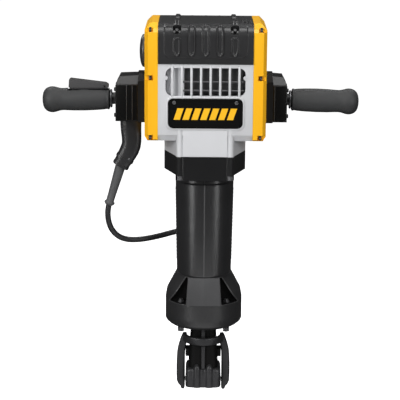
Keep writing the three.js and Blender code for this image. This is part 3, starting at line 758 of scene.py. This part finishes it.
# ---- Barrel ----
def barrel_half(side):
    """One half of the sleeve: a smooth skin with a stepped top band."""
    name = "barrel_shell_left" if side < 0 else "barrel_shell_right"
    low, high = (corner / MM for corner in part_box(name))
    half_top, half_foot = 65.4, 61.3
    levels = [(low.z, 1.2), (low.z + 1.5, 0.3), (low.z + 4, 0.0), (high.z - 16, 0.0), (high.z - 14.8, 1.3),
              (high.z - 12.5, 3.0), (high.z, 3.0)]
    rings = []
    steps = 36
    for z, inset in levels:
        share = (z - low.z) / (high.z - low.z)
        half = half_foot + (half_top - half_foot) * share - inset
        outer = []
        for k in range(steps + 1):
            angle = -math.pi / 2 + math.pi * k / steps
            x = half * abs(math.cos(angle)) ** 0.80
            depth = (71.5 if angle < 0 else 65.8) - inset
            outer.append((max(x, 0.2), math.copysign(depth * abs(math.sin(angle)) ** 0.92, angle)))
        inner = [(max(x - 5, 0.2), y * (1 - 5 / 70)) for x, y in reversed(outer)]
        rings.append([(side * x, y, z) for x, y in outer + inner])
    piece = loft(name + "_skin", rings)
    weld(piece, 0.01 * MM)
    sharpen(piece, 30)
    dress(piece, "barrel_black")
    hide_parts(name)


def make_barrel():
    barrel_half(-1)
    barrel_half(1)
    seam = []
    for side in (-1, 1):
        y = -71.6 if side < 0 else 66.0
        rings = []
        for z in (273.0, 482.0):
            rings.append([(-1.7, y + side * -0.6, z), (-1.1, y + side * 0.7, z), (1.1, y + side * 0.7, z),
                          (1.7, y + side * -0.6, z)])
        seam.append(loft("seam", rings))
    line = joined("barrel_seam", seam)
    sharpen(line, 20)
    dress(line, "black_cover")
    teeth = []
    for side in (-1, 1):
        for i in range(20):
            z = 300.0 + 8.4 * i
            half = 61.3 + 4.1 * (z - 271) / 227
            low, high = sorted((side * (half - 1.5), side * (half + 0.5)))
            teeth.append(rounded_box("tooth", (low, -13, z), (high, 13, z + 3.6), 0.9, 2))
    dress(joined("barrel_side_ribs", teeth), "black_cover")


# ---- Front flange: a round drum under a flared neck with four nut windows ----
PANEL_FOOT = 213.5
PANEL_TOP = 270.5
PANEL_HALF_FOOT = 39.5
PANEL_HALF_TOP = 35.5
WINDOW_FOOT = 209.0
WINDOW_TOP = 266.0
WINDOW_HALF_TOP = 41.0
WINDOW_WIDENS = 37.0
FLANGE_BORE = 39.8
FLANGE_FOOT = 150.2
FLANGE_TOP = 271.0
FLANGE_SEAT = 163.0


def window_edge(z):
    """How far from the middle a nut window reaches at height z."""
    return WINDOW_HALF_TOP + WINDOW_WIDENS * (WINDOW_TOP - z) / (WINDOW_TOP - WINDOW_FOOT)


def drum_radius(z):
    profile = [(150.2, 74.0), (152.0, 78.0), (158.0, 84.6), (162.0, 86.5), (212.0, 86.5), (214.5, 86.0),
               (231.0, 83.0), (271.0, 62.0)]
    for (z0, r0), (z1, r1) in zip(profile, profile[1:]):
        if z <= z1:
            return r0 + (r1 - r0) * max(0.0, z - z0) / (z1 - z0)
    return profile[-1][1]


def flange_point(angle, z):
    """A point of the flange's skin, pushed in where the nut windows are."""
    radius = drum_radius(z)
    x, y = radius * math.cos(angle), radius * math.sin(angle)
    if WINDOW_FOOT < z < WINDOW_TOP and PANEL_HALF_TOP < abs(x) < window_edge(z) and abs(y) > 30:
        return x, math.copysign(min(abs(y), 39.0), y)
    return x, y


def flange_panel(face):
    """The flared panel between two windows, with a shallow ridge down its middle."""
    rings = []
    for z, inset in ((PANEL_FOOT - 3, 1.6), (PANEL_FOOT, 0.0), (PANEL_TOP - 6, 0.0), (PANEL_TOP, 0.6)):
        share = (z - PANEL_FOOT) / (PANEL_TOP - PANEL_FOOT)
        half = PANEL_HALF_FOOT + (PANEL_HALF_TOP - PANEL_HALF_FOOT) * share
        depth = 88.4 - 16.0 * share - inset
        front = [(-half, depth - 7.5), (-half + 0.6, depth - 1.6), (-half + 2.0, depth - 0.6),
                 (-half * 0.5, depth), (-1.4, depth + 0.5), (0, depth + 0.8), (1.4, depth + 0.5),
                 (half * 0.5, depth), (half - 2.0, depth - 0.6), (half - 0.6, depth - 1.6),
                 (half, depth - 7.5)]
        ring = [(x, face * y, z) for x, y in front] + [(half, face * 44, z), (-half, face * 44, z)]
        rings.append(ring)
    return loft("panel", rings)


def make_window_shade_liners():
    """Near-black sheets of painted shade at the back and foot of each nut window."""
    liners = []
    for side in (-1, 1):
        for face in (-1, 1):
            web = [(side * 37, WINDOW_FOOT + 0.6), (side * 77, WINDOW_FOOT + 0.6), (side * 41, WINDOW_TOP),
                   (side * 37, WINDOW_TOP)]
            liners.append(stripe(web, face * 39.9, face * 39.4))
            foot = [(side * 37, face * 39.5), (side * 75.6, face * 39.5), (side * 66, face * 53.5),
                    (side * 54, face * 65.5), (side * 37, face * 76.5)]
            low = [(x, y, WINDOW_FOOT + 0.6) for x, y in foot]
            high = [(x, y, WINDOW_FOOT + 1.0) for x, y in foot]
            liners.append(loft("web", [low, high]))
    plates = joined("flange_window_shade_sheets", liners)
    sharpen(plates, 20)
    dress(plates, "shadow_black")


def make_flange():
    make_window_shade_liners()
    segments = 288
    levels = [FLANGE_FOOT, 151.2, 153, 155.5, 158, 160, 162, 175, 190, 200, 206, WINDOW_FOOT - 0.4,
              WINDOW_FOOT + 0.4]
    levels += [WINDOW_FOOT + 0.4 + 1.6 * (i + 1) for i in range(35)]
    levels += [WINDOW_TOP + 0.2, 268.5, FLANGE_TOP]
    rings = [circle_ring(FLANGE_BORE, FLANGE_SEAT, segments), circle_ring(65, FLANGE_SEAT, segments),
             circle_ring(70, FLANGE_FOOT, segments)]
    for z in levels:
        rings.append([(*flange_point(2 * math.pi * i / segments, z), z) for i in range(segments)])
    rings.append(circle_ring(FLANGE_BORE, FLANGE_TOP, segments))
    rings.append(rings[0])
    flange = loft("front_flange_skin", rings, cap=False)
    weld(flange, 0.001 * MM)
    sharpen(flange, 32)
    dress(flange, "black_cover")
    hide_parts("front_flange")
    frames = []
    for side in (-1, 1):
        for face in (-1, 1):
            rim_points = []
            for k in range(19):
                z = WINDOW_TOP - (WINDOW_TOP - WINDOW_FOOT) * k / 18
                x = window_edge(z)
                rim_points.append((side * x, face * math.sqrt(max(0.0, drum_radius(z) ** 2 - x * x)), z))
            frames.append(bead(rim_points, 1.3))
            foot = []
            for k in range(15):
                x = PANEL_HALF_FOOT + (77.5 - PANEL_HALF_FOOT) * k / 14
                foot.append((side * x, face * math.sqrt(drum_radius(WINDOW_FOOT) ** 2 - x * x), WINDOW_FOOT))
            frames.append(bead(foot, 1.0))
    edges = joined("flange_window_edges", frames)
    sharpen(edges)
    dress(edges, "black_cover")
    panels = joined("flange_panels", [flange_panel(face) for face in (-1, 1)])
    sharpen(panels, 30)
    dress(panels, "lighter_black")


# ---- Nose ----
BLOCK_SECTIONS = [
    (0.0, 2.4), (0.015, 0.9), (0.05, 0.0), (0.45, 0.0), (0.82, 0.4), (0.91, 1.6), (0.97, 4.0), (1.0, 7.0),
]
BLOCK_HALF_X = 40.4
BLOCK_HALF_Y = 39.0
BLOCK_BORE = 24.6


def bulge(x):
    """1 on the two lobes of the nose block and 0 away from them."""
    return math.exp(-((abs(x) - 14.0) / 7.0) ** 4)


def square_ring(half_x, half_y, z, power, segments=96):
    return [(a, b, z) for a, b in squircle(half_x, half_y, power, segments)]


def make_nose_block():
    segments = 128
    rings = []
    for share, inset in BLOCK_SECTIONS:
        ring = []
        for i in range(segments):
            angle = 2 * math.pi * i / segments
            c, s = math.cos(angle), math.sin(angle)
            radius = ((abs(c) / (BLOCK_HALF_X - inset)) ** 8
                      + (abs(s) / (BLOCK_HALF_Y - inset)) ** 8) ** (-1 / 8)
            x, y = radius * c, radius * s
            swell = bulge(x) if abs(y) > 20 else 0.0
            y = math.copysign(abs(y) + 4.0 * swell * (1 - inset / 8), y)
            ring.append((x, y, 0.4 + (46.0 + 10.0 * swell) * share))
        rings.append(ring)
    rings += [circle_ring(BLOCK_BORE, 48.0, segments), circle_ring(BLOCK_BORE, 0.4, segments), rings[0]]
    block = loft("nose_block", rings, cap=False)
    weld(block, 0.001 * MM)
    sharpen(block, 38)
    dress(block, "forged_black")
    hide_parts("nose")


def make_nose():
    make_nose_block()
    sections = [(30, 33, 33), (48, 34, 33.5), (60, 33.5, 33.5), (95, 31.4, 32), (125, 29.6, 31.5),
                (150.4, 29.2, 31.5)]
    rings = [square_ring(a, b, z, 4.5) for z, a, b in sections]
    rings += [circle_ring(24.5, 150.4, 96), circle_ring(24.5, 30.0, 96), rings[0]]
    core = loft("nose_core", rings, cap=False)
    weld(core, 0.001 * MM)
    sharpen(core, 30)
    # The core is coloured with painted shade, for the shade it stands in between the arms.
    dress(core, "shadow_black")
    # The stops are coloured with painted shade as well.
    stops = [rounded_box("stop", (-40.4, -13, 68), (-28, 13, 87), 1.5),
             rounded_box("stop", (28, -13, 68), (40.4, 13, 87), 1.5)]
    dress(joined("nose_stops", stops), "shadow_black")
    plate_rings = [square_ring(62 - inset, 62 - inset, z, 4.5) for z, inset in
                   ((150.7, 1.5), (152.2, 0), (160, 0), (161.5, 1.5))]
    plate_rings += [circle_ring(26.0, 161.5, 96), circle_ring(26.0, 150.7, 96), plate_rings[0]]
    plate = loft("nose_flange_plate", plate_rings, cap=False)
    weld(plate, 0.001 * MM)
    sharpen(plate, 30)
    dress(plate, "forged_black")
    ribs = []
    for face in (-1, 1):
        low, high = sorted((face * 38.6, face * 28))
        ribs.append(rounded_box("rib", (-4.3, low, 46), (4.3, high, 99), 1.8))
        low, high = sorted((face * 36.4, face * 28))
        ribs.append(rounded_box("rib", (-4.3, low, 96), (4.3, high, 140), 1.8))
    dress(joined("nose_ribs", ribs), "forged_black")


ARM_SECTIONS = [
    (-13.5, 43.4, 49.0, 5.0), (-11.5, 42.4, 50.5, 7.5), (-5, 41.7, 52.5, 8.8), (-1, 41.7, 57.0, 9.0),
    (7, 41.7, 60.4, 9.0), (22, 41.7, 61.2, 9.0), (44, 41.7, 61.2, 9.0), (62, 41.7, 60.6, 9.0),
    (76, 41.4, 59.8, 9.0), (86, 40.2, 58.2, 9.0), (97, 38.4, 55.4, 9.0), (108, 37.9, 51.8, 9.2),
    (115, 37.9, 49.0, 9.4), (118, 38.3, 47.6, 9.0), (119.6, 40.0, 45.6, 7.0),
]
HOOP_RADIUS = 42.6
HOOP_Z = 112.4


def arm_rings(side):
    """The sections of one retainer arm: height, inner and outer edge, and half depth."""
    rings = []
    for z, inner, outer, depth in ARM_SECTIONS:
        middle = (inner + outer) / 2
        half = (outer - inner) / 2
        rings.append([(side * (middle + a), b, z) for a, b in squircle(half, depth, 4.5, 40)])
    return rings


def make_bail():
    pieces = [loft("arm", arm_rings(side)) for side in (-1, 1)]
    rings = []
    for k in range(49):
        angle = math.radians(-186 + 192 * k / 48)
        section = squircle(4.9, 8.6, 5.0, 32)
        rings.append([((HOOP_RADIUS + a) * math.cos(angle), (HOOP_RADIUS + a) * math.sin(angle), HOOP_Z + b)
                      for a, b in section])
    pieces.append(loft("hoop", rings))
    bail = joined("retainer_bail_forged", pieces)
    sharpen(bail, 38)
    dress(bail, "forged_black", "retainer")
    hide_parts("retainer_bail")
    pins = []
    for side in (-1, 1):
        for face in (-1, 1):
            pins.append(rod(2.6, (side * 51, face * 7.0, 11.0), (side * 51, face * 9.7, 11.0), 20, 0.3))
    rolled = joined("bail_roll_pins", pins)
    sharpen(rolled)
    dress(rolled, "black_casting", "retainer")


# ---- Handles ----
DROOP = math.radians(1.5)
HANDLE_Z = 664.0


def droop_frame(side, pivot):
    """The outward axis of a grip, tipped slightly down from its pivot."""
    return Vector((pivot, 0, HANDLE_Z)), Vector((side * math.cos(DROOP), 0, -math.sin(DROOP)))


GRIP_PROFILE = [
    (13.4, 0), (21.5, 0), (24.2, 1.2), (24.8, 3.2), (24.0, 5.0), (23.6, 7.0), (24.6, 14), (25.6, 30),
    (26.2, 55), (25.8, 80), (24.9, 96), (24.6, 104), (25.2, 110), (26.8, 116), (28.3, 121.5), (28.9, 126.5),
    (28.5, 131.5), (27.0, 136.5), (24.3, 141), (20.4, 144.6), (15.5, 147), (9, 148.4), (4, 148.8),
    (0, 148.9),
]
GRIP_BORE = GRIP_PROFILE[0][0]
WASHER_PROFILE = [
    (13.2, 0), (19.5, 0), (20.4, 0.8), (20.4, 3.0), (19.5, 3.8), (13.2, 3.8), (13.2, 0),
]


def make_grip(side, pivot, start, slot_span=None):
    """A drooping grip on its stem, hub and pivot pin, with a flat for the paddle over slot_span."""
    origin, axis = droop_frame(side, pivot)
    gap = abs(start) - abs(pivot)
    up = Vector((side * math.sin(DROOP), 0, math.cos(DROOP)))
    segments = 96
    lengths = []
    for (r0, a0), (r1, a1) in zip(GRIP_PROFILE[1:], GRIP_PROFILE[2:]):
        parts = max(1, round((a1 - a0) / 1.6)) if slot_span else 1
        for k in range(parts):
            lengths.append((r0 + (r1 - r0) * k / parts, a0 + (a1 - a0) * k / parts))
    lengths.append(GRIP_PROFILE[-1])
    rings = [[origin + axis * gap + up * GRIP_BORE * math.sin(2 * math.pi * i / segments)
              + Vector((0, GRIP_BORE * math.cos(2 * math.pi * i / segments), 0)) for i in range(segments)]]
    for radius, along in lengths:
        ring = []
        for i in range(segments):
            angle = 2 * math.pi * i / segments
            y = max(radius, 0.02) * math.cos(angle)
            rise = max(radius, 0.02) * math.sin(angle)
            if slot_span and slot_span[0] < along < slot_span[1] and abs(y) < 13.0:
                rise = min(rise, 12.5)
            ring.append(origin + axis * (gap + along) + Vector((0, y, 0)) + up * rise)
        rings.append(ring)
    name = "left" if side < 0 else "right"
    grip = loft("grip_rubber_" + name, rings)
    weld(grip, 0.005 * MM)
    sharpen(grip, 40)
    dress(grip, "grip_rubber", "handle_" + name)
    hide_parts("grip_" + name)
    core = turned("handle_stem_" + name, [(0, 0), (13, 0), (13, gap + 125), (0, gap + 125)], origin, axis, 40)
    hub = rod(10.5, (pivot, -34.8, HANDLE_Z), (pivot, 34.8, HANDLE_Z), 36)
    pin = rod(4.6, (pivot, -43, HANDLE_Z), (pivot, 43, HANDLE_Z), 24)
    stem = joined("handle_core_forged_" + name, [core, hub, pin])
    sharpen(stem)
    dress(stem, "black_casting", "handle_" + name)
    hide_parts("handle_core_" + name)
    washer = turned("washer", WASHER_PROFILE, origin + axis * (gap - 5.2), axis, 48, closed=True)
    washer.name = "handle_washer_" + name
    sharpen(washer)
    dress(washer, "dark_steel", "handle_" + name)


def make_paddle_skirt():
    """The paddle's lower edge, which dips into the slot in the grip."""
    skirt = rounded_box("paddle_skirt", (-300.0, -10.6, 684.6), (-216.0, 10.6, 690.5), 1.0)
    dress(skirt, "black_cover", "paddle")


def make_bracket_trim(side, inner, outer):
    """The gloss front panel on a handle bracket, with lighter seam lines, the top one a painted highlight
    along its upper edge, and corner screws.
    """
    name = "left" if side < 0 else "right"
    low, high = 620.5, 701.0
    x0, x1 = sorted((side * inner, side * outer))
    panel = rounded_box("bracket_panel_" + name, (x0, -47.0, low), (x1, -44.6, high), 0.9)
    dress(panel, "nameplate_black")
    # The top line is a lighter strip painted as the highlight of the panel's upper edge.
    lines = [rounded_box("line", (x0, -47.9, high - 1.2), (x1, -46.6, high + 0.2), 0.5, 2)]
    for share in (0.5, 0.76) if side < 0 else (0.10,):
        x = x0 + (x1 - x0) * share
        lines.append(rounded_box("line", (x - 0.6, -47.7, low + 2), (x + 0.6, -46.6, high - 1), 0.5, 2))
    dress(joined("bracket_seam_and_highlight_lines_" + name, lines), "black_cover")
    screws = []
    for z in (632.0, 689.0):
        for face in (-1, 1):
            x = side * (abs(outer) - 3.0)
            screws.append(rod(4.6, (x, face * 36, z), (x + side * 7.0, face * 36, z), 20, 1.2))
    lugs = joined("bracket_screws_" + name, screws)
    sharpen(lugs)
    dress(lugs, "black_casting")


# ---- Cord guard and sleeve ----
def make_cord_guard():
    """A solid elbow from the handle bracket to the cord's sleeve, with its bands and details."""
    path = [(-164.8, 619.0, 23.6), (-165.0, 606, 23.4), (-164.6, 592, 22.8), (-163.6, 578, 22.0),
            (-163.4, 566, 21.6), (-164.6, 557, 21.6), (-168.0, 547.5, 21.4), (-173.0, 538, 20.6),
            (-178.5, 528.5, 19.6), (-183.2, 520.5, 18.8), (-187.2, 513.6, 18.2), (-188.6, 511.2, 17.0)]
    rings = []
    for i, (x, z, half) in enumerate(path):
        before = path[max(0, i - 1)]
        after = path[min(len(path) - 1, i + 1)]
        heading = Vector((after[0] - before[0], 0, after[1] - before[1])).normalized()
        if i == 0:
            heading = Vector((0, 0, -1))
        across = Vector((-heading.z, 0, heading.x))
        depth = 19.5 if i < 9 else 18.0
        rings.append([Vector((x, 0, z)) + across * a + Vector((0, b, 0))
                      for a, b in squircle(half, depth, 3.2, 56)])
    elbow = loft("cord_guard_shell", rings)
    sharpen(elbow, 40)
    dress(elbow, "black_cover")
    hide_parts("cord_guard")
    bands = []
    for index, width, grow in ((8, 3.4, 1.3), (10, 3.0, 0.9)):
        x, z, half = path[index]
        heading = Vector((path[index + 1][0] - x, 0, path[index + 1][1] - z)).normalized()
        across = Vector((-heading.z, 0, heading.x))
        band = []
        for shift, extra in ((-width, 0.0), (-width + 0.8, grow), (width - 0.8, grow), (width, 0.0)):
            middle = Vector((x, 0, z)) + heading * shift
            band.append([middle + across * a + Vector((0, b, 0))
                         for a, b in squircle(half + extra, 18.8 + extra, 3.2, 56)])
        bands.append(loft("band", band))
    clamp = joined("cord_guard_bands", bands)
    sharpen(clamp, 40)
    dress(clamp, "black_casting")
    slots = [rounded_box("slot", (-186.5, -19.2, z), (-177.5, -17.2, z + 2.6), 0.6, 2)
             for z in (596.0, 602.5)]
    slots.append(rod(2.6, (-168.5, -17.5, 529.5), (-168.5, -20.6, 529.5), 18, 0.5))
    dress(joined("cord_guard_details", slots), "dark_steel")


def make_sleeve():
    start = Vector((-188.0, 0, 512.0))
    end = Vector((-215.0, 0, 421.0))
    heading = (end - start).normalized()
    length = (end - start).length
    profile = [(0, -12), (10.9, -12), (11.5, 4), (11.0, 20), (10.0, 45), (9.2, 68), (8.9, length - 10),
               (9.6, length - 8.6), (11.2, length - 7.4), (11.9, length - 5.2), (11.2, length - 3.0),
               (9.4, length - 1.4), (8.6, length), (0, length)]
    sleeve = turned("cord_sleeve_moulded", profile, start, heading, 48)
    sharpen(sleeve, 50)
    dress(sleeve, "sleeve_rubber")
    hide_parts("cord_sleeve")


def make_bearing_cap():
    profile = [(0, 127), (21, 127), (21, 131.8), (36, 131.8), (36.8, 134.6), (35.4, 138.6), (31, 141.2),
               (24, 143.2), (15, 144.6), (7, 145.2), (0, 145.3)]
    cap = turned("bearing_cap_domed", profile, (0, 0, 770), (-1, 0, 0), 72)
    sharpen(cap, 40)
    dress(cap, "black_cover")
    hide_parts("bearing_cap")


# ---- CAD nodes that keep their shape ----
SOFT_EDGES = {
    "motor_housing": 1.6, "side_cover_left": 2.6, "side_cover_right": 2.6, "nameplate": 0.6, "collar": 1.8,
    "handle_bracket_left": 3.0, "handle_bracket_right": 3.0, "switch_paddle": 2.0, "tool_sleeve": 0.5,
    "plug": 0.8, "cord_tie": 0.6,
}


def dress_cad():
    slots = {row["node"]: row["material_slot"] for row in frame["record"]["subparts"]}
    for name, node in NODES.items():
        node.data.materials.clear()
        node.data.materials.append(MATERIALS[slots[name]])
    for name, width in SOFT_EDGES.items():
        soften(name, width)
    for name in ("collar", "handle_bracket_left", "handle_bracket_right"):
        NODES[name].data.materials[0] = MATERIALS["collar_black"]
    for name in NODES:
        if name.startswith(("collar_bolt", "flange_bolt")):
            soften(name, 0.6)
            NODES[name].data.materials[0] = MATERIALS["dark_steel"]


make_camera()
make_cord()
make_stage()
dress_cad()
make_motor_cover()
make_grille()
make_casting_face()
make_nameplate()
make_side_screws()
make_barrel()
make_flange()
make_nose()
make_bail()
make_grip(-1, -174.0, -211.6, slot_span=(3.0, 92.6))
make_grip(1, 163.0, 190.7)
make_paddle_skirt()
make_bracket_trim(-1, 148.5, 196.4)
make_bracket_trim(1, 148.5, 178.4)
make_cord_guard()
make_sleeve()
make_bearing_cap()
